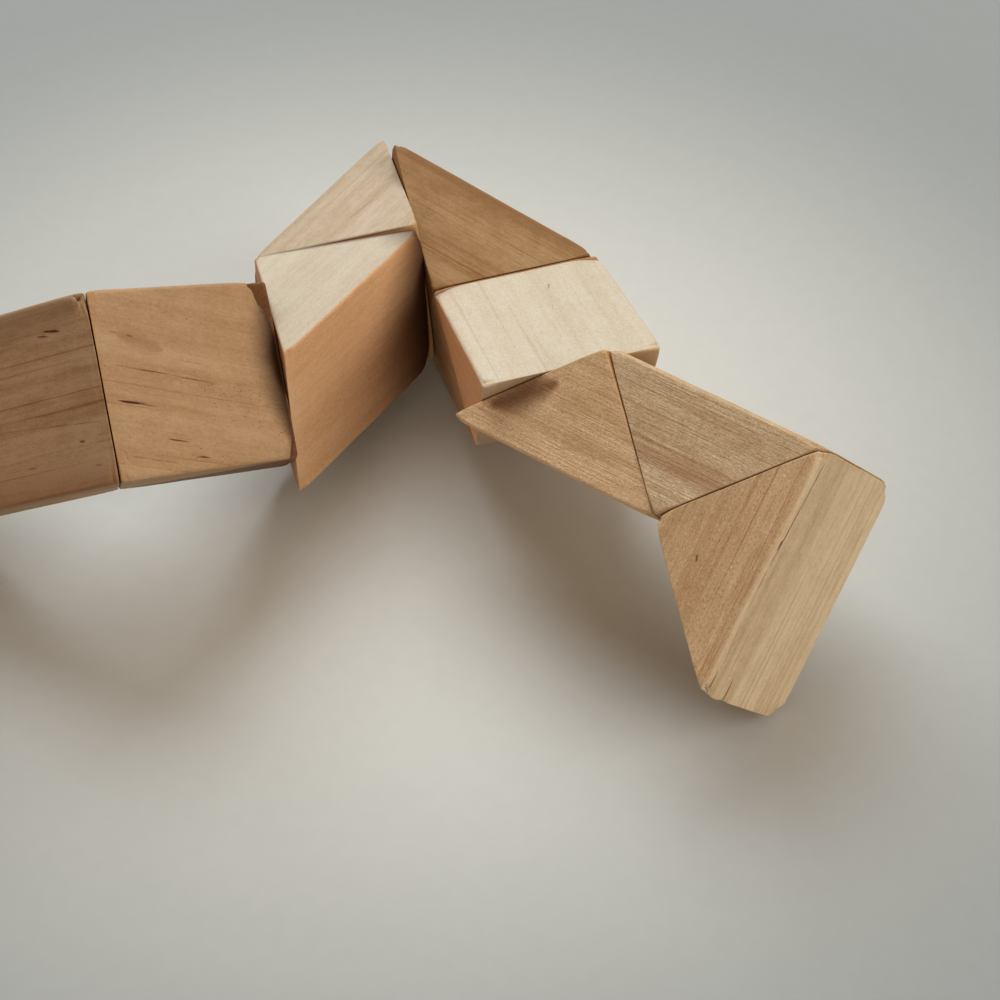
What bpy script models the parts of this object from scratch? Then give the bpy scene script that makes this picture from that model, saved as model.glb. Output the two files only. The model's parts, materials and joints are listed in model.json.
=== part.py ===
"""Twisty snake puzzle: a chain of equal wooden wedges strung on one elastic cord.

Metres, +Z up. The origin is under the middle of the chain, on the surface that it rests on.

Every wedge is a right isosceles triangular prism. Two of its faces are squares, the entry face
towards the wedge before it and the exit face towards the wedge after it, and neighbours turn
against each other about the line through the middle of the two squares that meet.

A wedge's own frame has its origin in the middle of the entry face, +Z into the wood along the
joint's axis, and +X away from the edge where the two square faces meet.
"""

import math

import bmesh
import bpy
from mathutils import Matrix, Vector

# Driving dimensions, in metres
LEG = 0.020                # short side of the triangular face, and the width of a wedge
JOINT_GAP = 0.0001         # gap between the faces of two neighbouring wedges
EDGE_ROUND = 0.0005        # how far the sanded rounding reaches from each edge
EDGE_SEGMENTS = 2
CORD_DIAMETER = 0.0020
BORE_DIAMETER = 0.0030
POCKET_DIAMETER = 0.0060   # blind hole in the free face of an end wedge, for the cord's knot
POCKET_DEPTH = 0.0055
PLUG_THICKNESS = 0.0015
KNOT_DIAMETER = 0.0032
FIT_GAP = 0.0003           # clearance around the plug and behind the knot
ROUND_SIDES = 12
OVERRUN = LEG / 4          # how far cutters and untrimmed rods reach past a face
WEDGE_SMOOTH_ANGLE = math.radians(35)
ROUND_SMOOTH_ANGLE = math.radians(50)

# Twist of every joint away from the straight bar, in degrees, from wedge_01 to the last wedge
TWISTS = (
    0, 0, -90, -90, 0, 90, 90, 0, -90, -90, 0, 180, 0,
    180, 0, 41, -3, -148, 90, 0, -58, -3, 180,
)
# The wedge numbers whose far corner touches the surface, and the side of that corner
STANDS_ON = ((6, -1), (12, -1), (24, -1))
HEADING = 101.2             # turn of the whole chain about Z, in degrees

WOOD_TONES = (
    ("pale_wood", (0.70, 0.50, 0.30), 0.55),
    ("tan_wood", (0.58, 0.38, 0.21), 0.60),
    ("brown_wood", (0.46, 0.30, 0.17), 0.65),
)
TONE_ORDER = (1, 2, 0, 1, 0, 2, 1, 0, 0, 2, 1, 0, 1, 2, 1, 0, 0, 0, 2, 1, 0, 1, 1, 0)
PLUG_TONE = ("plug_wood", (0.50, 0.33, 0.19), 0.60)
CORD_TONE = ("elastic_cord", (0.045, 0.045, 0.05), 0.80)

HALF_GAP = JOINT_GAP / 2
ENTRY = Vector((0, 0, 0))                  # middle of the entry face
EXIT = Vector((-LEG / 2, 0, LEG / 2))      # middle of the exit face
UP = Vector((0, 0, 1))


def clear_objects():
    for obj in list(bpy.data.objects):
        bpy.data.objects.remove(obj)


def new_collection(name):
    collection = bpy.data.collections.new(name)
    bpy.context.scene.collection.children.link(collection)
    return collection


def material(name, colour, roughness):
    mat = bpy.data.materials.new(name)
    mat.use_nodes = True
    shader = mat.node_tree.nodes["Principled BSDF"]
    shader.inputs["Base Color"].default_value = (*colour, 1.0)
    shader.inputs["Roughness"].default_value = roughness
    shader.inputs["Metallic"].default_value = 0.0
    mat.diffuse_color = (*colour, 1.0)
    return mat


def add_object(name, mesh, collection):
    obj = bpy.data.objects.new(name, mesh)
    collection.objects.link(obj)
    return obj


def as_cutter(obj):
    obj.hide_render = True
    obj.display_type = "WIRE"
    return obj


def upright_to(axis):
    return UP.rotation_difference(axis).to_matrix().to_4x4()


def rod(name, start, end, diameter, collection):
    """A cylinder from one point to another."""
    axis = end - start
    bm = bmesh.new()
    bmesh.ops.create_cone(
        bm,
        cap_ends=True,
        segments=ROUND_SIDES,
        radius1=diameter / 2,
        radius2=diameter / 2,
        depth=axis.length,
        matrix=Matrix.Translation((start + end) / 2) @ upright_to(axis),
    )
    mesh = bpy.data.meshes.new(name)
    bm.to_mesh(mesh)
    bm.free()
    return add_object(name, mesh, collection)


def wedge_blank(name, collection):
    """A cube cut across its diagonal, with sharp edges, half a gap inside the nominal faces."""
    side = LEG - JOINT_GAP
    slope = Vector((1, 0, 1)).normalized()
    bm = bmesh.new()
    bmesh.ops.create_cube(bm, size=side, matrix=Matrix.Translation((0, 0, LEG / 2)))
    cut = bmesh.ops.bisect_plane(
        bm,
        geom=bm.verts[:] + bm.edges[:] + bm.faces[:],
        plane_co=Vector((LEG / 2, 0, 0)) - slope * HALF_GAP,
        plane_no=slope,
        clear_outer=True,
    )
    rim = [item for item in cut["geom_cut"] if isinstance(item, bmesh.types.BMEdge)]
    bmesh.ops.edgeloop_fill(bm, edges=rim)
    bmesh.ops.recalc_face_normals(bm, faces=bm.faces[:])
    mesh = bpy.data.meshes.new(name)
    bm.to_mesh(mesh)
    bm.free()
    return add_object(name, mesh, collection)


def add_bevel(obj):
    bevel = obj.modifiers.new("sanded_edges", "BEVEL")
    bevel.width = EDGE_ROUND
    bevel.segments = EDGE_SEGMENTS
    bevel.limit_method = "ANGLE"
    bevel.use_clamp_overlap = True


def add_boolean(obj, operation, other):
    boolean = obj.modifiers.new(other.name, "BOOLEAN")
    boolean.operation = operation
    boolean.solver = "EXACT"
    boolean.object = other


def finished_mesh(obj, smooth_angle):
    """The object's mesh with its modifiers applied, and the object removed."""
    depsgraph = bpy.context.evaluated_depsgraph_get()
    mesh = bpy.data.meshes.new_from_object(obj.evaluated_get(depsgraph))
    mesh.name = obj.name
    mesh.shade_smooth()
    mesh.set_sharp_from_angle(angle=smooth_angle)
    bpy.data.objects.remove(obj)
    return mesh


def other_end(point):
    """The same place counted from the exit face instead of the entry face, and the other way."""
    return Vector((point.z - LEG / 2, point.y, point.x + LEG / 2))


def past(start, end, distance):
    """A point on the line from start to end, beyond end."""
    return end + (end - start).normalized() * distance


def middle_meshes(cutters):
    """Wedge and cord run of every wedge that has a neighbour on both sides."""
    start = past(EXIT, ENTRY, OVERRUN)
    end = past(ENTRY, EXIT, OVERRUN)
    bore = as_cutter(rod("bore_cutter", start, end, BORE_DIAMETER, cutters))
    wedge = wedge_blank("wedge", cutters)
    add_bevel(wedge)
    add_boolean(wedge, "DIFFERENCE", bore)

    envelope = as_cutter(wedge_blank("cord_end_cutter", cutters))
    cord = rod("cord_run", start, end, CORD_DIAMETER, cutters)
    add_boolean(cord, "INTERSECT", envelope)
    return finished_mesh(wedge, WEDGE_SMOOTH_ANGLE), finished_mesh(cord, ROUND_SMOOTH_ANGLE)


def end_meshes(cutters, place, label):
    """Wedge, cord run with its knot, and plug of an end wedge.

    place turns a point counted from the entry face, which is where the chain goes on here,
    into the wedge's own frame.
    """
    free_face = EXIT
    inward = Vector((1, 0, 0))
    knot_at = free_face + inward * (POCKET_DEPTH - FIT_GAP - KNOT_DIAMETER / 2)
    joint_side = past(knot_at, ENTRY, OVERRUN)

    run = place(joint_side), place(knot_at)
    bore = as_cutter(rod(f"bore_cutter_{label}", *run, BORE_DIAMETER, cutters))
    mouth = place(free_face - inward * OVERRUN)
    floor = place(free_face + inward * POCKET_DEPTH)
    pocket = as_cutter(rod(f"pocket_cutter_{label}", mouth, floor, POCKET_DIAMETER, cutters))
    wedge = wedge_blank(f"wedge_{label}", cutters)
    add_bevel(wedge)
    add_boolean(wedge, "DIFFERENCE", bore)
    add_boolean(wedge, "DIFFERENCE", pocket)

    envelope = bpy.data.objects["cord_end_cutter"]
    cord = rod(f"cord_run_{label}", *run, CORD_DIAMETER, cutters)
    add_boolean(cord, "INTERSECT", envelope)
    add_boolean(cord, "UNION", as_cutter(knot(f"knot_{label}", place(knot_at), cutters)))

    plug_top = free_face + inward * HALF_GAP
    plug_base = plug_top + inward * PLUG_THICKNESS
    plug_diameter = POCKET_DIAMETER - 2 * FIT_GAP
    plug = rod(f"plug_{label}", place(plug_top), place(plug_base), plug_diameter, cutters)
    return (
        finished_mesh(wedge, WEDGE_SMOOTH_ANGLE),
        finished_mesh(cord, ROUND_SMOOTH_ANGLE),
        finished_mesh(plug, ROUND_SMOOTH_ANGLE),
    )


def knot(name, centre, collection):
    bm = bmesh.new()
    bmesh.ops.create_uvsphere(
        bm,
        u_segments=ROUND_SIDES,
        v_segments=ROUND_SIDES // 2,
        radius=KNOT_DIAMETER / 2,
        matrix=Matrix.Translation(centre),
    )
    mesh = bpy.data.meshes.new(name)
    bm.to_mesh(mesh)
    bm.free()
    return add_object(name, mesh, collection)


def step(twist):
    """From a wedge's frame to its follower's frame."""
    turn_over = Matrix(((0, 0, -1, 0), (0, -1, 0, 0), (-1, 0, 0, 0), (0, 0, 0, 1)))
    return Matrix.Translation(EXIT) @ turn_over @ Matrix.Rotation(math.radians(twist), 4, "Z")


def chain_frames():
    """Every wedge's frame, counted from the first wedge's frame."""
    frames = [Matrix.Identity(4)]
    for twist in TWISTS:
        frames.append(frames[-1] @ step(twist))
    return frames


def standing_frame(frames, mesh):
    """Where the first wedge's frame goes so that the chain rests on its three lowest corners."""
    corners = [
        frames[number - 1] @ Vector((-LEG / 2, side * LEG / 2, LEG))
        for number, side in STANDS_ON
    ]
    middle = sum((frame.translation for frame in frames), Vector()) / len(frames)
    normal = (corners[1] - corners[0]).cross(corners[2] - corners[0])
    if normal.dot(middle - corners[0]) < 0:
        normal.negate()
    level = normal.rotation_difference(UP).to_matrix().to_4x4()
    turn = Matrix.Rotation(math.radians(HEADING), 4, "Z") @ level
    points = [turn @ frame @ vertex.co for frame in frames for vertex in mesh.vertices]
    low = Vector(min(point[i] for point in points) for i in range(3))
    high = Vector(max(point[i] for point in points) for i in range(3))
    return Matrix.Translation((-(low.x + high.x) / 2, -(low.y + high.y) / 2, -low.z)) @ turn


def build():
    clear_objects()
    parts = new_collection("twisty_snake_puzzle")
    cutters = new_collection("cutters")

    wedge_mesh, cord_mesh = middle_meshes(cutters)
    first = end_meshes(cutters, other_end, "first")
    last = end_meshes(cutters, Vector, "last")

    woods = [material(*tone) for tone in WOOD_TONES]
    plug_wood = material(*PLUG_TONE)
    elastic = material(*CORD_TONE)

    frames = chain_frames()
    before = None
    for number, tone in enumerate(TONE_ORDER, start=1):
        end = {1: first, len(frames): last}.get(number)
        wedge = add_object(f"wedge_{number:02d}", (end[0] if end else wedge_mesh).copy(), parts)
        wedge.data.materials.append(woods[tone])
        if before is None:
            wedge.matrix_world = standing_frame(frames, wedge_mesh)
        else:
            wedge.parent = before
            wedge.matrix_local = step(TWISTS[number - 2])
        before = wedge

        cord = add_object(f"cord_run_{number:02d}", (end[1] if end else cord_mesh).copy(), parts)
        cord.data.materials.append(elastic)
        cord.parent = wedge
        if end:
            plug = add_object(f"end_plug_{number:02d}", end[2], parts)
            plug.data.materials.append(plug_wood)
            plug.parent = wedge


build()
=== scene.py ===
"""Looks of a wooden twisty snake puzzle: 24 sanded wedges on one elastic cord, on a pale floor."""

import json
import math
import random

import bmesh
import bpy
import numpy as np
from mathutils import Matrix, Vector, noise


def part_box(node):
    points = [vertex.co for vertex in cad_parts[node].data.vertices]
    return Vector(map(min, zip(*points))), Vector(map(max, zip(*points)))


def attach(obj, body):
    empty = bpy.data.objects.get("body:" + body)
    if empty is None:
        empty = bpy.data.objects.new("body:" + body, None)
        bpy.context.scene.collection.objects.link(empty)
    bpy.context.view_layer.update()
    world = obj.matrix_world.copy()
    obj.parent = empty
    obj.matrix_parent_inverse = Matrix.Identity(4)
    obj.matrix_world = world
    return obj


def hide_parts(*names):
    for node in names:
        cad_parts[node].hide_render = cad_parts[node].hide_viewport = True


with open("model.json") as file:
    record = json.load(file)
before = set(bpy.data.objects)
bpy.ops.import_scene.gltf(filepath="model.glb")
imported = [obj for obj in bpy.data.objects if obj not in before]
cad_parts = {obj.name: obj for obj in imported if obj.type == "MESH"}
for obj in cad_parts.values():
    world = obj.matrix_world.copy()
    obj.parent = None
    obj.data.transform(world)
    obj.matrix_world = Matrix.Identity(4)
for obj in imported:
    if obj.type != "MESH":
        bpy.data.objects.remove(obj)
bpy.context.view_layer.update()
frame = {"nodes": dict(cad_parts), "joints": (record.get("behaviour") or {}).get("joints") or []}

MM = 0.001
JOINT_GAP = 0.1 * MM
HALF_GAP = JOINT_GAP / 2
BORE_RADIUS = 1.5 * MM
POCKET_RADIUS = 3.0 * MM
POCKET_DEPTH = 5.5 * MM
PLUG_RADIUS = 2.7 * MM
PLUG_THICKNESS = 1.5 * MM
PLUG_CHAMFER = 0.25 * MM
PLUG_SIDES = 64
KNOT_DEPTH = 3.6 * MM       # from an end wedge's free face to the middle of the cord's knot
BORE_SIDES = 24

EDGE_ROUND = 0.45 * MM      # mean radius of the sanded edges
MEETING_ROUND = 0.2         # share of it that is left on the edges of the square faces
CORNER_ROUND = 0.48 * MM    # how much more the six corners are rounded
CORNER_REACH = 1.8 * MM
CUTS_NEAR_EDGE = (0.05, 0.12, 0.2, 0.3, 0.42, 0.6, 0.9, 1.4)   # mm from each face
CUT_SPACING = 0.8           # mm between the cuts across the rest of a face
DENT_DEPTH = 0.05 * MM      # depth of the small dents of hand sanding

joints = sorted(frame["joints"], key=lambda joint: joint["name"])
hinges = [Vector(joint["pos_m"]) for joint in joints]
axes = [Vector(joint["axis"]).normalized() for joint in joints]
COUNT = len(joints) + 1
LEG = (hinges[1] - hinges[0]).length * math.sqrt(2)
HALF = LEG / 2
ENTRY = Vector((0, 0, 0))
EXIT = Vector((-HALF, 0, HALF))


# ---------------------------------------------------------------- where the wedges are

def towards(axis, direction):
    """The axis, turned round if need be, so that it points along the direction."""
    return axis if axis.dot(direction) > 0 else -axis


def axes_frame(x, z, origin):
    """A frame with these X and Z axes."""
    x = (x - z * x.dot(z)).normalized()
    turn = Matrix((x, z.cross(x), z)).transposed().to_4x4()
    return Matrix.Translation(origin) @ turn


def plug_centre(number):
    """The middle of the plug in an end wedge."""
    low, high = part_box(f"end_plug_{number:02d}")
    return (low + high) / 2


def wedge_frame(number):
    """A wedge's own frame: origin in the middle of the entry face, +Z into the wood along the
    joint's axis, +X away from the edge where the two square faces meet."""
    if number == 1:
        leave = hinges[0]
        plug = plug_centre(1)
        x = towards(axes[0], plug - leave)
        z = leave - plug
        z = (z - x * z.dot(x)).normalized()
        return axes_frame(x, z, leave + x * HALF - z * HALF)
    enter = hinges[number - 2]
    if number == COUNT:
        plug = plug_centre(COUNT)
        z = towards(axes[-1], plug - enter)
        return axes_frame(enter - plug, z, enter)
    leave = hinges[number - 1]
    z = towards(axes[number - 2], leave - enter)
    return axes_frame(towards(axes[number - 1], enter - leave), z, enter)


# ---------------------------------------------------------------- wedge meshes

SLOPE = Vector((1, 0, 1)).normalized()
FACES = (
    (Vector((0, 0, -1)), -HALF_GAP),                       # entry
    (Vector((-1, 0, 0)), HALF - HALF_GAP),                 # exit
    (SLOPE, HALF * SLOPE.x - HALF_GAP),                    # sloping face
    (Vector((0, 1, 0)), HALF - HALF_GAP),
    (Vector((0, -1, 0)), HALF - HALF_GAP),
)
CORNERS = [
    (x, y, z)
    for x, z in ((-HALF, 0), (HALF, 0), (-HALF, LEG))
    for y in (-HALF, HALF)
]


def cut(bm, point, normal, clear=False):
    """Cuts a mesh by a plane, and with clear it takes away what is outside and closes the cut."""
    made = bmesh.ops.bisect_plane(
        bm,
        geom=bm.verts[:] + bm.edges[:] + bm.faces[:],
        dist=1e-7,
        plane_co=point,
        plane_no=normal,
        clear_outer=clear,
    )
    if clear:
        rim = [item for item in made["geom_cut"] if isinstance(item, bmesh.types.BMEdge)]
        bmesh.ops.edgeloop_fill(bm, edges=rim)


def dense_wedge():
    """A sharp-edged wedge cut into small faces, which are smallest next to its edges."""
    bm = bmesh.new()
    bmesh.ops.create_cube(bm, size=LEG - JOINT_GAP, matrix=Matrix.Translation((0, 0, HALF)))
    cut(bm, SLOPE * FACES[2][1], SLOPE, clear=True)
    for normal, offset in FACES:
        for depth in CUTS_NEAR_EDGE:
            cut(bm, normal * (offset - depth * MM), normal)
    steps = round(LEG / MM / CUT_SPACING)
    for step in range(1, steps):
        reach = LEG * step / steps
        cut(bm, Vector((reach - HALF, 0, 0)), Vector((1, 0, 0)))
        cut(bm, Vector((0, reach - HALF, 0)), Vector((0, 1, 0)))
        cut(bm, Vector((0, 0, reach)), Vector((0, 0, 1)))
    bmesh.ops.recalc_face_normals(bm, faces=bm.faces[:])
    mesh = bpy.data.meshes.new("dense_wedge")
    bm.to_mesh(mesh)
    bm.free()
    return mesh


def rod_mesh(start, end, radius):
    """A round rod between two points, for cutting a bore."""
    axis = end - start
    turn = Vector((0, 0, 1)).rotation_difference(axis).to_matrix().to_4x4()
    bm = bmesh.new()
    bmesh.ops.create_cone(
        bm,
        cap_ends=True,
        segments=BORE_SIDES,
        radius1=radius,
        radius2=radius,
        depth=axis.length,
        matrix=Matrix.Translation((start + end) / 2) @ turn,
    )
    mesh = bpy.data.meshes.new("rod")
    bm.to_mesh(mesh)
    bm.free()
    return mesh


def linked(name, data):
    """A new object in the scene."""
    made = bpy.data.objects.new(name, data)
    bpy.context.scene.collection.objects.link(made)
    return made


def bored(mesh, rods):
    """The mesh with holes cut by the rods."""
    body = linked("bored", mesh)
    tools = [linked("rod", rod) for rod in rods]
    for tool in tools:
        hole = body.modifiers.new("hole", "BOOLEAN")
        hole.operation = "DIFFERENCE"
        hole.solver = "EXACT"
        hole.object = tool
    bpy.context.view_layer.update()
    graph = bpy.context.evaluated_depsgraph_get()
    made = bpy.data.meshes.new_from_object(body.evaluated_get(graph))
    for thing in [body] + tools:
        bpy.data.objects.remove(thing)
    return made


def other_end(point):
    """The same place counted from the exit face instead of the entry face, and the other way."""
    return Vector((point.z - HALF, point.y, point.x + HALF))


def blanks():
    """Dense wedges with their bores: (first, middle, last)."""
    solid = dense_wedge()
    along = (EXIT - ENTRY).normalized() * LEG / 4
    middle = bored(solid.copy(), [rod_mesh(ENTRY - along, EXIT + along, BORE_RADIUS)])
    inward = Vector((1, 0, 0))
    knot = EXIT + inward * KNOT_DEPTH
    joint_side = ENTRY + (ENTRY - knot).normalized() * LEG / 4
    mouth = EXIT - inward * LEG / 4
    bottom = EXIT + inward * POCKET_DEPTH
    ends = []
    for place in (other_end, Vector):
        rods = [
            rod_mesh(place(joint_side), place(knot), BORE_RADIUS),
            rod_mesh(place(mouth), place(bottom), POCKET_RADIUS),
        ]
        ends.append(bored(solid.copy(), rods))
    return ends[0], middle, ends[1]


def nearest_in_triangle(points, inset):
    """Nearest place to each (x, z) point in the wedge's cross-section, shrunk by an inset each."""
    low_z = HALF_GAP + inset
    low_x = -HALF + HALF_GAP + inset
    reach = math.sqrt(2) * (FACES[2][1] - inset)         # x + z on the shrunken slope
    corners = np.stack([
        np.stack([low_x, low_z], 1),
        np.stack([reach - low_z, low_z], 1),
        np.stack([low_x, reach - low_x], 1),
    ])
    inside = (points[:, 1] >= low_z) & (points[:, 0] >= low_x) & (points.sum(1) <= reach)
    best = points.copy()
    best_far = np.where(inside, 0.0, np.inf)
    for a, b in ((0, 1), (1, 2), (2, 0)):
        start = corners[a]
        edge = corners[b] - start
        share = np.clip(((points - start) * edge).sum(1) / (edge * edge).sum(1), 0, 1)
        place = start + edge * share[:, None]
        far = np.linalg.norm(points - place, axis=1)
        closer = far < best_far
        best[closer] = place[closer]
        best_far[closer] = far[closer]
    return best


def meeting(points):
    """1 on the edges of the square faces, where neighbours meet, and 0 away from them."""
    far = np.minimum(points[:, 2], points[:, 0] + HALF) - HALF_GAP
    return np.exp(-(far / EDGE_ROUND) ** 2)


def sanded(points, seed, chips):
    """Points of a sharp wedge, moved in to its hand-sanded surface, and how much each edge point
    has been rounded off, from 0 to 1."""
    shift = Vector((seed * 7.3, seed * 3.1, seed * 5.7))
    radius = np.empty(len(points))
    dent = np.empty(len(points))
    for i, point in enumerate(points):
        place = Vector(point) / MM + shift
        radius[i] = 1 + 0.22 * noise.noise(place * 0.11) + 0.13 * noise.noise(place * 0.45)
        dent[i] = 0.5 + 0.5 * noise.noise(place * 0.16) + 0.22 * noise.noise(place * 0.7)
    radius *= EDGE_ROUND * (1 - (1 - MEETING_ROUND) * meeting(points))
    for corner in CORNERS:
        far = np.linalg.norm(points - np.array(corner), axis=1) / CORNER_REACH
        radius += CORNER_ROUND * np.exp(-far ** 2)
    for where, size, depth in chips:
        far = np.linalg.norm(points - np.array(where) * MM, axis=1) / (size * MM)
        radius += depth * MM * np.exp(-far ** 2)
    inner = points.copy()
    inner[:, [0, 2]] = nearest_in_triangle(points[:, [0, 2]], radius)
    limit = HALF - HALF_GAP - radius
    inner[:, 1] = np.clip(points[:, 1], -limit, limit)
    out = points - inner
    far = np.linalg.norm(out, axis=1)
    surface = np.clip(far / radius, 0, 1) ** 4
    direction = out / np.maximum(far, 1e-9)[:, None]
    keep = np.minimum(far, radius) - np.clip(dent, 0, 1) * DENT_DEPTH * surface
    moved = inner + direction * np.maximum(keep, 0)[:, None]
    worn = np.clip((far / radius - 1.0) / 0.3, 0, 1)
    return np.where((far > 1e-9)[:, None], moved, points), worn


def surface_kind(normals):
    """1 on the triangular faces, and 1 on the square faces, by vertex."""
    side = np.clip(np.abs(normals[:, 1]) * 4 - 3, 0, 1)
    square = np.clip(np.maximum(-normals[:, 0], -normals[:, 2]) * 4 - 3, 0, 1)
    return side, square


# Columns: along the grain, which follows the long way of the sloping face, then across, then
# out of the sloping face
GRAIN_TURN = Matrix(((SLOPE.x, 0, SLOPE.x), (0, 1, 0), (-SLOPE.z, 0, SLOPE.z)))


def wedge_piece(number, blank, chips):
    """One wedge in its place, with what its material needs to know stored on its mesh."""
    mesh = blank.copy()
    mesh.name = f"wood_{number:02d}"
    points = np.empty(len(mesh.vertices) * 3)
    mesh.vertices.foreach_get("co", points)
    moved, worn = sanded(points.reshape(-1, 3), number, chips)
    mesh.vertices.foreach_set("co", moved.ravel())
    mesh.update()
    mesh.shade_smooth()
    mesh.set_sharp_from_angle(angle=math.radians(50))
    normals = np.empty(len(mesh.vertices) * 3)
    mesh.vertices.foreach_get("normal", normals)
    side, square = surface_kind(normals.reshape(-1, 3))
    for name, values in (("worn", worn), ("side", side), ("square", square)):
        layer = mesh.attributes.new(name, "FLOAT", "POINT")
        layer.data.foreach_set("value", values.astype(np.float32))
    turned = moved @ np.array(GRAIN_TURN) / MM
    layer = mesh.attributes.new("grain", "FLOAT_VECTOR", "POINT")
    layer.data.foreach_set("vector", turned.astype(np.float32).ravel())
    mesh.transform(wedge_frame(number))
    return linked(f"wood_{number:02d}", mesh)


# ---------------------------------------------------------------- materials

class Graph:
    """A small helper for building a material's nodes."""

    def __init__(self, name):
        self.material = bpy.data.materials.new(name)
        self.material.use_nodes = True
        self.tree = self.material.node_tree
        self.shader = self.tree.nodes["Principled BSDF"]

    def set(self, socket, value):
        if isinstance(value, bpy.types.NodeSocket):
            self.tree.links.new(value, socket)
        else:
            socket.default_value = value

    def node(self, kind, inputs=(), **settings):
        made = self.tree.nodes.new(kind)
        for key, value in settings.items():
            setattr(made, key, value)
        for key, value in dict(inputs).items():
            self.set(made.inputs[key], value)
        return made

    def math(self, operation, a, b=0.0, clamp=False):
        made = self.node("ShaderNodeMath", {0: a, 1: b}, operation=operation, use_clamp=clamp)
        return made.outputs[0]

    def vector(self, operation, a, b=(0, 0, 0)):
        return self.node("ShaderNodeVectorMath", {0: a, 1: b}, operation=operation).outputs[0]

    def smooth(self, value, low, high, to_low=0.0, to_high=1.0):
        made = self.node(
            "ShaderNodeMapRange",
            {"Value": value, "From Min": low, "From Max": high, "To Min": to_low, "To Max": to_high},
            interpolation_type="SMOOTHSTEP",
        )
        return made.outputs["Result"]

    def noise(self, place, scale, detail=2.0, rough=0.5):
        scaled = self.vector("MULTIPLY", place, scale)
        made = self.node(
            "ShaderNodeTexNoise",
            {"Vector": scaled, "Scale": 1.0, "Detail": detail, "Roughness": rough},
        )
        return made.outputs["Fac"]

    def mix(self, share, a, b, blend="MIX"):
        made = self.node("ShaderNodeMix", data_type="RGBA", blend_type=blend)
        self.set(made.inputs["Factor"], share)
        self.set(made.inputs["A"], a)
        self.set(made.inputs["B"], b)
        return made.outputs["Result"]

    def tint(self, share, look, factor):
        """The look with a share of it multiplied by a colour."""
        return self.mix(share, look, self.mix(1.0, look, colour(*factor), "MULTIPLY"))

    def length(self, value):
        return self.node("ShaderNodeVectorMath", {0: value}, operation="LENGTH").outputs["Value"]

    def attribute(self, name):
        return self.node("ShaderNodeAttribute", attribute_name=name).outputs["Fac"]


def colour(*values):
    return (*values, 1.0)


def streak_shape(g, place, start, end, width):
    """0 in the middle of a streak between two points, and 1 at its edge; it tapers at the ends."""
    run = Vector(end) - Vector(start)
    offset = g.vector("SUBTRACT", place, tuple(start))
    dot = g.node("ShaderNodeVectorMath", {0: offset, 1: tuple(run)}, operation="DOT_PRODUCT")
    along = dot.outputs["Value"]
    share = g.math("DIVIDE", along, max(run.length_squared, 1e-6), clamp=True)
    nearest = g.node("ShaderNodeVectorMath", {0: tuple(run), "Scale": share}, operation="SCALE")
    near = g.length(g.vector("SUBTRACT", offset, nearest.outputs[0]))
    swell = g.math("MULTIPLY", share, g.math("SUBTRACT", 1.0, share))
    reach = g.math("MULTIPLY", g.math("ADD", g.math("MULTIPLY", swell, 2.8), 0.3), width)
    return g.math("DIVIDE", near, reach)


MEAN_TONE = 0.44            # the tone about which the figure varies, from 0 (pale) to 1 (dark)
BROAD = 0.4                 # half width in mm from which a mark is a soft patch, not a streak; soft patches are stained wood, painted shade or painted light


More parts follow.
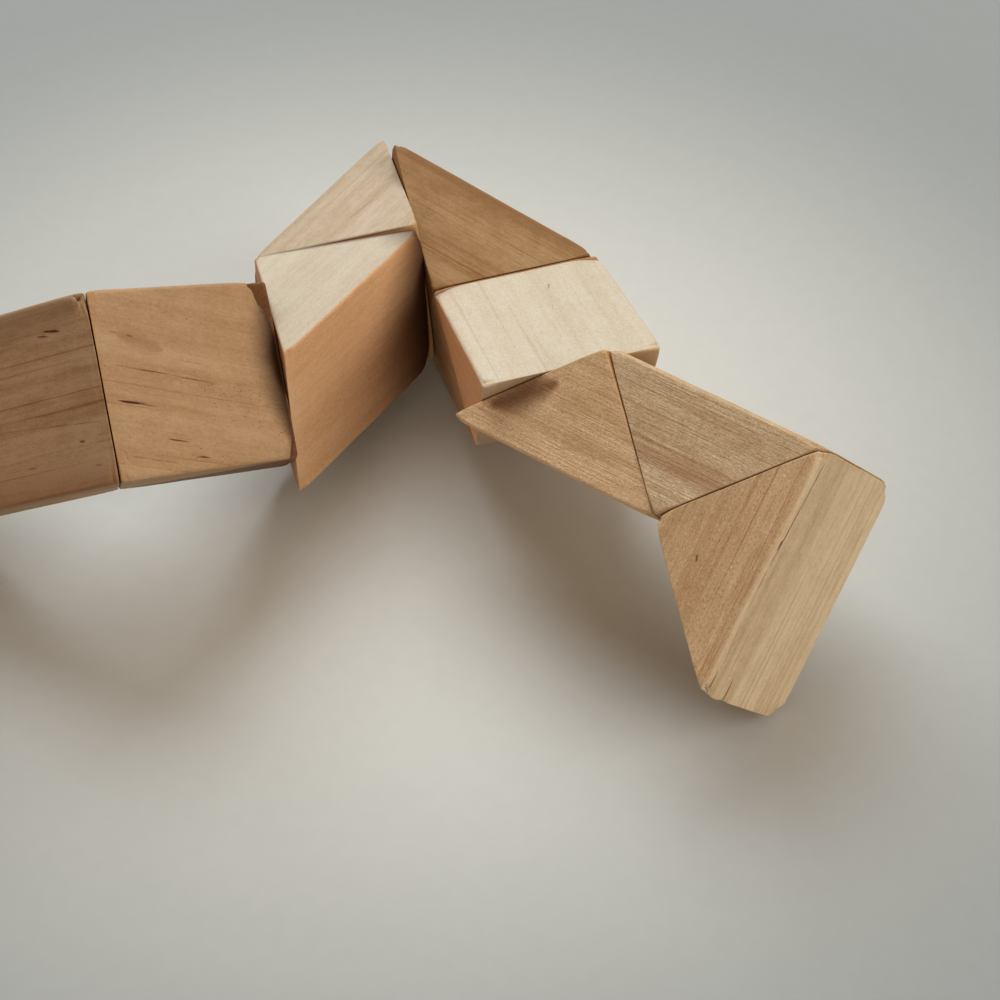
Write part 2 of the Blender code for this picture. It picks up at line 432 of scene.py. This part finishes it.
def wood(
    name, seed, shade, side=None, figure=0.8, band=0.5, sawn=0.3, skew=0.0, flecks=0.25, marks=()
):
    """Unvarnished hardwood: its mean colour, that of the triangular faces, and how strong its
    figure is. Places are in the wedge's own frame, in mm, turned so that X runs along the grain,
    which follows the long way of the sloping face."""
    g = Graph(name)
    grain = g.node("ShaderNodeAttribute", attribute_name="grain").outputs["Vector"]
    draw = random.Random(seed)
    shift = tuple(draw.uniform(-90, 90) for _ in range(3))
    turned = g.node(
        "ShaderNodeVectorRotate",
        {"Vector": grain, "Axis": (0, 0, 1), "Angle": math.radians(skew)},
        rotation_type="AXIS_ANGLE",
    ).outputs["Vector"]
    place = g.vector("ADD", turned, shift)
    on_side = g.attribute("side")
    on_square = g.attribute("square")

    # growth rings round a pith some way off
    wobble = g.node(
        "ShaderNodeTexNoise",
        {"Vector": g.vector("MULTIPLY", place, (0.02, 0.12, 0.12)), "Scale": 1.0, "Detail": 2.0},
    ).outputs["Color"]
    bent = g.vector("ADD", turned, g.vector("MULTIPLY", wobble, (0, 4.0, 4.0)))
    angle = draw.uniform(0, 2 * math.pi)
    far = draw.uniform(20, 50)
    pith = (0, far * math.cos(angle), far * math.sin(angle))
    radius = g.length(g.vector("MULTIPLY", g.vector("SUBTRACT", bent, pith), (0, 1, 1)))
    phase = g.math("FRACT", g.math("DIVIDE", radius, draw.uniform(2.6, 4.2)))
    ring = g.math("MULTIPLY", g.math("POWER", phase, 4.0), g.smooth(phase, 1.0, 0.92))

    bands = g.smooth(g.noise(place, (0.010, 0.20, 0.20), 2.0), 0.34, 0.66)
    streaks = g.noise(place, (0.028, 1.3, 1.3), 5.0, 0.66)
    fine = g.noise(place, (0.22, 4.6, 4.6), 3.0, 0.7)
    grit = g.noise(place, (3.2, 6.4, 6.4), 2.0, 0.6)

    tone = g.math("MULTIPLY", bands, 0.76 * band)
    tone = g.math("ADD", tone, g.smooth(streaks, 0.30, 0.72, 0.0, 0.34))
    tone = g.math("ADD", tone, g.math("MULTIPLY", ring, 0.26))
    tone = g.math("ADD", tone, g.smooth(fine, 0.25, 0.75, -0.10, 0.16))
    tone = g.math("ADD", g.math("MULTIPLY", g.math("SUBTRACT", tone, MEAN_TONE), figure), MEAN_TONE)
    mottle = g.noise(place, (0.35, 0.6, 0.6), 3.0, 0.6)
    tone = g.math("ADD", tone, g.smooth(mottle, 0.30, 0.70, -0.14 * figure, 0.14 * figure))
    dust = g.noise(place, (1.5, 3.4, 3.4), 2.0, 0.7)
    tone = g.math("ADD", tone, g.smooth(dust, 0.32, 0.70, -0.05 - 0.06 * figure, 0.06 + 0.08 * figure))
    tone = g.math("ADD", tone, g.smooth(grit, 0.30, 0.72, -0.15, 0.17), clamp=True)
    ground = g.mix(on_side, colour(*shade), colour(*(side or shade)))
    look = g.mix(1.0, ground, g.mix(tone, colour(1.17, 1.22, 1.30), colour(0.79, 0.72, 0.62)), "MULTIPLY")

    # long thin darker lines, and short pores
    lines = g.smooth(g.noise(place, (0.012, 2.1, 2.1), 1.0), 0.655, 0.72)
    look = g.tint(g.math("MULTIPLY", lines, 0.6 * figure), look, (0.72, 0.55, 0.42))
    dots = g.node(
        "ShaderNodeTexVoronoi",
        {"Vector": g.vector("MULTIPLY", place, (0.9, 2.4, 2.4)), "Scale": 1.0},
    ).outputs["Distance"]
    gather = g.smooth(g.noise(place, (0.05, 0.16, 0.16)), 0.45, 0.62)
    fleck = g.math("MULTIPLY", g.smooth(dots, 0.17, 0.07), gather)
    look = g.mix(g.math("MULTIPLY", fleck, flecks), look, colour(0.13, 0.04, 0.02))

    # the square faces show end grain, and the triangular ones are left as sawn
    look = g.tint(on_square, look, (0.86, 0.72, 0.56))
    rub = g.math("MULTIPLY", on_side, sawn)
    scratch = g.noise(place, (0.13, 0.3, 4.2), 3.0, 0.66)
    patchy = g.smooth(g.noise(place, (0.05, 0.3, 0.25), 2.0), 0.35, 0.62, 0.35, 1.0)
    cut_in = g.math("MULTIPLY", rub, patchy)
    ridges = g.math("MULTIPLY", g.smooth(scratch, 0.34, 0.68), cut_in)
    pale = g.math("MULTIPLY", g.smooth(scratch, 0.56, 0.66), cut_in)
    deep = g.math("MULTIPLY", g.smooth(scratch, 0.44, 0.34), cut_in)
    # painted light and shade on the sawn faces: the saw ridges and raised grit are painted lighter and
    # cooler, with painted glints, and the grooves and pits are painted darker; the bump below gives the
    # relief itself
    look = g.tint(g.math("MULTIPLY", pale, 0.5), look, (1.22, 1.28, 1.36))
    look = g.tint(g.math("MULTIPLY", deep, 0.45), look, (0.76, 0.65, 0.55))
    glint = g.math("MULTIPLY", g.smooth(grit, 0.55, 0.68), rub)
    look = g.tint(glint, look, (1.30, 1.38, 1.52))
    painted_pit_shade = g.math("MULTIPLY", g.smooth(grit, 0.45, 0.32), rub)
    look = g.tint(g.math("MULTIPLY", painted_pit_shade, 0.9), look, (0.74, 0.66, 0.58))

    worn = g.attribute("worn")
    rubbed = g.smooth(g.noise(place, (0.35, 0.35, 0.35)), 0.35, 0.68, 0.10, 0.62)
    look = g.tint(g.math("MULTIPLY", worn, rubbed), look, (0.96, 0.82, 0.66))
    # marks are stained wood, dark streaks, painted shade or painted light, each drawn as a soft patch or
    # streak
    for start, end, width, strength, stain_and_painted_light in marks:
        shape = streak_shape(g, grain, start, end, width)
        if width < BROAD:
            shape = g.math("ADD", shape, g.smooth(fine, 0.3, 0.7, -0.3, 0.4))
        core = 0.35 if width < BROAD else 0.0
        look = g.mix(g.math("MULTIPLY", g.smooth(shape, 1.0, core), strength), look, colour(*stain_and_painted_light))
    g.set(g.shader.inputs["Base Color"], look)

    rough = g.math("ADD", g.smooth(streaks, 0.3, 0.7, 0.50, 0.62), g.math("MULTIPLY", rub, 0.12))
    g.set(g.shader.inputs["Roughness"], rough)
    g.set(g.shader.inputs["Specular IOR Level"], 0.16)
    g.set(g.shader.inputs["Specular Tint"], colour(1.0, 0.80, 0.60))
    height = g.math("ADD", g.math("MULTIPLY", fine, 0.22), g.math("MULTIPLY", streaks, 0.20))
    roughened = g.math("ADD", g.math("MULTIPLY", rub, 0.7), 0.22)
    height = g.math("ADD", height, g.math("MULTIPLY", grit, roughened))
    height = g.math("ADD", height, g.math("MULTIPLY", ridges, 0.55))
    height = g.math("SUBTRACT", height, g.math("MULTIPLY", fleck, 0.3))
    bump = g.node("ShaderNodeBump", {"Height": height, "Strength": 0.7, "Distance": 0.07 * MM})
    g.set(g.shader.inputs["Normal"], bump.outputs["Normal"])
    return g.material


def elastic():
    """Black elastic cord in a braided sleeve."""
    g = Graph("braided_elastic")
    own = g.node("ShaderNodeTexCoord").outputs["Object"]
    local = g.vector("MULTIPLY", own, (1 / MM,) * 3)
    weave = g.node("ShaderNodeTexVoronoi", {"Vector": local, "Scale": 2.6}).outputs["Distance"]
    look = g.mix(g.smooth(weave, 0.2, 0.7), colour(0.05, 0.05, 0.055), colour(0.012, 0.012, 0.014))
    g.set(g.shader.inputs["Base Color"], look)
    g.set(g.shader.inputs["Roughness"], g.smooth(weave, 0.2, 0.7, 0.75, 0.92))
    bump = g.node("ShaderNodeBump", {"Height": weave, "Strength": 0.6, "Distance": 0.1 * MM})
    g.set(g.shader.inputs["Normal"], bump.outputs["Normal"])
    return g.material


# ---------------------------------------------------------------- pieces

# Mean colours, and how sawn the triangular faces look, wedge by wedge
TONES = {
    "pale_wood": {"shade": (0.62, 0.51, 0.36), "figure": 0.5, "sawn": 0.35},
    "tan_wood": {"shade": (0.42, 0.26, 0.135), "sawn": 0.8},
    "brown_wood": {"shade": (0.27, 0.15, 0.078), "sawn": 0.6},
}
SLOTS = ("pale_wood", "tan_wood", "brown_wood")
TONE_ORDER = (1, 2, 0, 1, 0, 2, 1, 0, 0, 2, 1, 0, 1, 2, 1, 2, 0, 0, 2, 1, 0, 1, 1, 0)

# Marks: from, to (mm, in the grain's frame), half width in mm, strength, colour
SLOPE_AT = LEG / MM / math.sqrt(8)
SIDE_AT = HALF / MM
RED_STREAK = (0.19, 0.050, 0.018)
DARK_STREAK = (0.070, 0.012, 0.006)
BROWN_STAIN = (0.15, 0.07, 0.035)


def on_slope(*rows):
    """Marks on the sloping face, whose places are given along and across the grain."""
    return tuple(((*start, SLOPE_AT), (*end, SLOPE_AT), *rest) for start, end, *rest in rows)


def on_triangle(sign, *rows):
    """Marks on a triangular face, whose places are given along the grain and out of the slope."""
    return tuple(
        ((start[0], sign * SIDE_AT, start[1]), (end[0], sign * SIDE_AT, end[1]), *rest)
        for start, end, *rest in rows
    )


# The wedges in the photograph: their looks, with marks of stained wood and some of painted shade and
# painted light, and chipped corners, which are given as a place in the wedge's frame, how far it reaches
# and how deep it goes, in mm
SPECIAL = {
    14: {
        "shade": (0.41, 0.255, 0.143), "figure": 1.3, "band": 0.5, "sawn": 0.6,
        "marks": on_slope(
            ((20, -9.5), (-24, -9.0), 4.2, 0.45, (0.24, 0.15, 0.088)),
            ((20, 9.0), (-24, 9.5), 5.0, 0.45, (0.27, 0.135, 0.066)),
            ((6.0, 1.2), (-30, 4.2), 0.13, 0.6, BROWN_STAIN),
            ((-14.2, -7.0), (-17.0, -6.5), 0.22, 0.95, DARK_STREAK),
            ((-13.0, -6.7), (-15.0, -6.3), 0.18, 0.7, DARK_STREAK),
            ((-16.4, 4.9), (-17.4, 5.0), 0.20, 0.7, DARK_STREAK),
            ((-18.0, 7.6), (-19.2, 7.7), 0.18, 0.7, RED_STREAK),
            ((-8.2, 6.4), (-10.0, 6.6), 0.16, 0.6, RED_STREAK),
        ),
        "chips": (((-10, -10, 20), 1.6, 0.6),),
    },
    15: {
        "shade": (0.47, 0.30, 0.162), "side": (0.40, 0.25, 0.13),
        "figure": 0.7, "band": 0.5, "skew": 11.0, "flecks": 0.8, "sawn": 0.6,
        "marks": on_slope(
            ((6.4, -2.4), (-4.0, -0.4), 0.15, 0.85, RED_STREAK),
            ((-2.0, -0.7), (-11.8, 1.2), 0.17, 0.85, RED_STREAK),
            ((5.4, 1.6), (0.6, 2.3), 0.24, 1.0, DARK_STREAK),
            ((2.4, 2.1), (-1.0, 2.8), 0.16, 0.85, RED_STREAK),
            ((-0.6, 6.0), (-5.2, 6.9), 0.16, 0.85, DARK_STREAK),
            ((6.8, 7.0), (-3.6, 9.0), 0.16, 0.9, RED_STREAK),
            ((-4.4, 8.3), (-7.2, 8.6), 0.20, 0.95, DARK_STREAK),
            ((-4.2, -2.1), (-9.4, -1.2), 0.13, 0.55, RED_STREAK),
            ((3.4, -5.2), (-2.6, -3.2), 1.6, 0.40, (0.25, 0.12, 0.06)),
            # painted shade: a near-black soft patch across the sloping face's end, where the next wedges'
            # corner overhangs it
            ((-21.6, -9.5), (-21.6, 8.0), 6.4, 1.0, (0.030, 0.009, 0.005)),
            ((5.0, -5.7), (3.4, -5.3), 0.14, 0.7, RED_STREAK),
            ((2.4, -5.1), (1.2, -4.8), 0.14, 0.7, RED_STREAK),
            ((0.8, -4.4), (-1.2, -3.8), 0.14, 0.7, RED_STREAK),
        ),
        "chips": (((-10, -10, 20), 3.0, 1.5),),
    },
    16: {"shade": (0.20, 0.105, 0.055), "band": 0.6, "sawn": 0.5},
    17: {
        "shade": (0.69, 0.415, 0.22), "side": (0.57, 0.50, 0.39),
        "figure": 0.45, "band": 0.6, "sawn": 0.25,
        "marks": on_slope(
            # painted shade darkens the sloping face's end next to the wedges beyond it, and painted light
            # lightens its other end
            ((-22.2, -11.5), (-22.2, 20.0), 17.0, 1.0, (0.05, 0.017, 0.008)),
            ((8.0, -14.0), (8.0, 16.0), 4.0, 0.45, (0.78, 0.56, 0.35)),
        ) + on_triangle(
            -1,
            ((-3.0, -11.2), (-26, 11.8), 0.80, 1.0, (0.075, 0.025, 0.010)),
            ((-9.0, -9.0), (9.0, 9.0), 0.50, 0.9, (0.25, 0.095, 0.035)),
            ((-6.6, -7.6), (-7.6, -6.6), 1.5, 0.8, (0.22, 0.08, 0.03)),
        ),
    },
    18: {
        "shade": (0.55, 0.38, 0.22), "side": (0.51, 0.413, 0.30),
        "figure": 0.65, "band": 0.6, "sawn": 0.3,
        "marks": on_triangle(
            1,
            ((11.0, 11.0), (-11.1, -11.1), 0.60, 0.9, (0.12, 0.045, 0.018)),
            ((-3.5, 1.1), (-10.0, 0.6), 0.20, 0.35, (0.34, 0.17, 0.08)),
        ),
    },
    19: {
        "shade": (0.38, 0.22, 0.11), "side": (0.375, 0.23, 0.112),
        "figure": 1.2, "band": 0.7, "sawn": 0.55,
        "marks": on_triangle(
            1,
            ((7.0, 7.0), (-21.2, 7.0), 2.6, 0.40, (0.22, 0.095, 0.042)),
        ),
    },
    21: {
        # the triangular faces get a darker orange colour than the sloping face: painted warm shade on
        # these faces
        "shade": (0.625, 0.552, 0.426), "side": (0.70, 0.40, 0.215),
        "figure": 0.4, "band": 0.5, "sawn": 0.3,
        "marks": on_slope(
            ((2.0, -2.8), (0.2, -2.4), 0.20, 0.65, (0.30, 0.15, 0.06)),
            ((-4.0, -1.8), (-6.0, -1.4), 0.18, 0.55, (0.30, 0.15, 0.06)),
            ((-1.4, -2.3), (-2.8, -2.0), 0.14, 0.35, (0.36, 0.19, 0.09)),
        ),
    },
    22: {
        "shade": (0.605, 0.41, 0.23), "figure": 1.0, "band": 0.6, "sawn": 1.3,
        "marks": on_triangle(
            -1,
            ((4.0, 3.2), (-16.0, 3.2), 1.7, 0.30, (0.38, 0.22, 0.115)),
            # painted shadow: a dark soft patch where wedge 21 shades this triangular face
            ((2.2, 3.6), (-3.4, -1.2), 3.0, 0.85, (0.17, 0.072, 0.032)),
        ),
    },
    23: {
        "shade": (0.58, 0.425, 0.262), "figure": 1.0, "band": 0.6, "sawn": 1.3,
        "marks": on_triangle(
            1,
            ((2.0, -1.5), (-18.0, -1.4), 1.8, 0.6, (0.37, 0.185, 0.095)),
            ((0.0, 4.6), (-18.0, 4.8), 0.8, 0.25, (0.40, 0.24, 0.13)),
        ),
    },
    24: {
        "shade": (0.65, 0.50, 0.315), "side": (0.53, 0.345, 0.187),
        "figure": 0.9, "band": 0.6, "sawn": 1.4,
        "marks": on_slope(
            ((6.8, 8.2), (-8.0, 9.2), 0.17, 1.0, (0.27, 0.07, 0.025)),
            ((-4.0, 9.1), (-15.0, 9.3), 0.16, 0.9, (0.28, 0.08, 0.03)),
            ((-11.0, 9.2), (-18.5, 8.6), 0.16, 0.8, (0.28, 0.08, 0.03)),
            ((-3.2, 9.1), (-4.6, 9.2), 0.20, 0.9, DARK_STREAK),
            ((-18.0, 9.0), (-23.4, 9.2), 0.42, 1.0, (0.24, 0.060, 0.022)),
            ((-18.2, 4.9), (-23.4, 4.7), 0.40, 1.0, (0.24, 0.060, 0.022)),
            ((2.0, 1.2), (-16.0, 2.4), 0.10, 0.35, (0.35, 0.19, 0.10)),
        ) + on_triangle(
            1,
            ((-8.3, -0.5), (-9.4, -0.2), 0.17, 0.8, DARK_STREAK),
        ),
        "chips": (
            ((-10, 10, 0), 1.4, 0.7),
            ((10, -10, 0), 1.2, 0.35),
            ((-10, -10, 20), 1.4, 0.5),
            ((-10, 9.2, 20), 0.45, 0.4),
            ((-10, 4.8, 20), 0.45, 0.3),
        ),
    },
}


def plug_piece(number):
    """The end of the dowel that closes an end wedge's cord pocket, with a chamfered rim."""
    bm = bmesh.new()
    bmesh.ops.create_circle(bm, cap_ends=True, segments=PLUG_SIDES, radius=PLUG_RADIUS)
    made = bmesh.ops.extrude_face_region(bm, geom=bm.faces[:])
    top = [item for item in made["geom"] if isinstance(item, bmesh.types.BMVert)]
    bmesh.ops.translate(bm, verts=top, vec=(0, 0, PLUG_THICKNESS))
    bmesh.ops.recalc_face_normals(bm, faces=bm.faces[:])
    rims = [edge for edge in bm.edges if abs(edge.verts[0].co.z - edge.verts[1].co.z) < 1e-9]
    bmesh.ops.bevel(bm, geom=rims, offset=PLUG_CHAMFER, segments=3, profile=0.5, affect="EDGES")
    caps = [item for item in bm.faces if len(item.verts) > 4]
    for cap in caps:
        bmesh.ops.inset_individual(bm, faces=[cap], thickness=PLUG_RADIUS / 3)
        bmesh.ops.inset_individual(bm, faces=[cap], thickness=PLUG_RADIUS / 4)
    mesh = bpy.data.meshes.new(f"plug_{number:02d}")
    bm.to_mesh(mesh)
    bm.free()
    mesh.shade_smooth()
    mesh.set_sharp_from_angle(angle=math.radians(30))
    points = np.empty(len(mesh.vertices) * 3)
    mesh.vertices.foreach_get("co", points)
    along = points.reshape(-1, 3)[:, [2, 0, 1]] / MM
    for name, value in (("worn", 0.0), ("side", 0.0), ("square", 1.0)):
        layer = mesh.attributes.new(name, "FLOAT", "POINT")
        layer.data.foreach_set("value", np.full(len(along), value, np.float32))
    layer = mesh.attributes.new("grain", "FLOAT_VECTOR", "POINT")
    layer.data.foreach_set("vector", along.astype(np.float32).ravel())
    out = wedge_frame(number).to_3x3() @ Vector((0, 0, -1) if number == 1 else (-1, 0, 0))
    turn = Vector((0, 0, 1)).rotation_difference(out).to_matrix().to_4x4()
    mesh.transform(Matrix.Translation(plug_centre(number) - out * PLUG_THICKNESS / 2) @ turn)
    return linked(f"plug_{number:02d}", mesh)


first, middle, last = blanks()
for number in range(1, COUNT + 1):
    blank = {1: first, COUNT: last}.get(number, middle)
    slot = SLOTS[TONE_ORDER[number - 1]]
    style = dict(SPECIAL.get(number, TONES[slot]))
    piece = wedge_piece(number, blank, style.pop("chips", ()))
    piece.data.materials.clear()
    piece.data.materials.append(wood(f"wood_{number:02d}", number, **style))
    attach(piece, f"wedge_{number:02d}")
    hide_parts(f"wedge_{number:02d}")

dowel = wood("dowel", 99, (0.33, 0.19, 0.10))
for number in (1, COUNT):
    piece = plug_piece(number)
    piece.data.materials.append(dowel)
    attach(piece, f"wedge_{number:02d}")
    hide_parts(f"end_plug_{number:02d}")

cord = elastic()
for name, node in frame["nodes"].items():
    if name.startswith("cord_run"):
        node.data.materials.clear()
        node.data.materials.append(cord)


# ---------------------------------------------------------------- floor, light and camera

PAINTED_LIGHT_POOL_AT = (28, 58, 0)  # mm


def floor():
    """A pale tabletop with a painted pool of light: its colour is brightest behind the free end of the
    chain and painted darker further off.
    """
    bm = bmesh.new()
    bmesh.ops.create_grid(bm, x_segments=2, y_segments=2, size=2.0)
    mesh = bpy.data.meshes.new("floor")
    bm.to_mesh(mesh)
    bm.free()
    g = Graph("pale_floor")
    place = g.vector("MULTIPLY", g.node("ShaderNodeTexCoord").outputs["Object"], (1 / MM,) * 3)
    far = g.length(g.vector("SUBTRACT", place, PAINTED_LIGHT_POOL_AT))
    # painted pool of light: the floor's colour grows darker with distance from the bright spot
    look = g.mix(g.smooth(far, 16, 108), colour(0.66, 0.667, 0.63), colour(0.30, 0.322, 0.322))
    speck = g.noise(place, (0.5, 0.5, 0.5), 3.0)
    look = g.tint(g.smooth(speck, 0.3, 0.7, 0.0, 0.6), look, (0.97, 0.97, 0.965))
    g.set(g.shader.inputs["Base Color"], look)
    g.set(g.shader.inputs["Roughness"], 0.7)
    g.set(g.shader.inputs["Specular IOR Level"], 0.2)
    mesh.materials.append(g.material)
    linked("floor", mesh)


def area_light(name, at, aim, size, power, tint):
    """A round soft light that points at a place."""
    data = bpy.data.lights.new(name, "AREA")
    data.shape = "DISK"
    data.size = size
    data.energy = power
    data.color = tint
    light = linked(name, data)
    light.location = at
    light.rotation_mode = "QUATERNION"
    light.rotation_quaternion = (aim - at).to_track_quat("-Z", "Y")


floor()

LIT_AT = Vector((0.045, 0.0, 0.0))
BACK_LEFT = Vector((-0.28, 0.92, 1.2))
FRONT_RIGHT = Vector((1.1, -0.5, 0.8))
area_light("overhead", LIT_AT + BACK_LEFT, LIT_AT, 1.35, 19.5, (0.88, 0.96, 1.0))
area_light("right_fill", LIT_AT + FRONT_RIGHT, LIT_AT, 1.2, 9.0, (1.0, 0.94, 0.86))

world = bpy.data.worlds.new("room")
world.use_nodes = True
background = world.node_tree.nodes["Background"]
background.inputs["Color"].default_value = colour(1.0, 0.81, 0.66)
background.inputs["Strength"].default_value = 0.42
bpy.context.scene.world = world
bpy.context.scene.view_settings.view_transform = "Standard"

CAMERA_AT = Vector((0.04136, -0.16307, 0.21193))
CAMERA_RISE = math.radians(44.512)
CAMERA_TURN = math.radians(0.041)
CAMERA_ROLL = math.radians(0.274)
CAMERA_LENS = 93.609        # mm, on a sensor 36 mm wide
camera_data = bpy.data.cameras.new("camera")
camera_data.lens = CAMERA_LENS
camera_data.sensor_width = 36.0
camera_data.clip_start = 0.01
camera = linked("camera", camera_data)
camera.matrix_world = (
    Matrix.Translation(CAMERA_AT)
    @ Matrix.Rotation(CAMERA_TURN, 4, "Z")
    @ Matrix.Rotation(math.pi / 2 - CAMERA_RISE, 4, "X")
    @ Matrix.Rotation(CAMERA_ROLL, 4, "Z")
)
bpy.context.scene.camera = camera
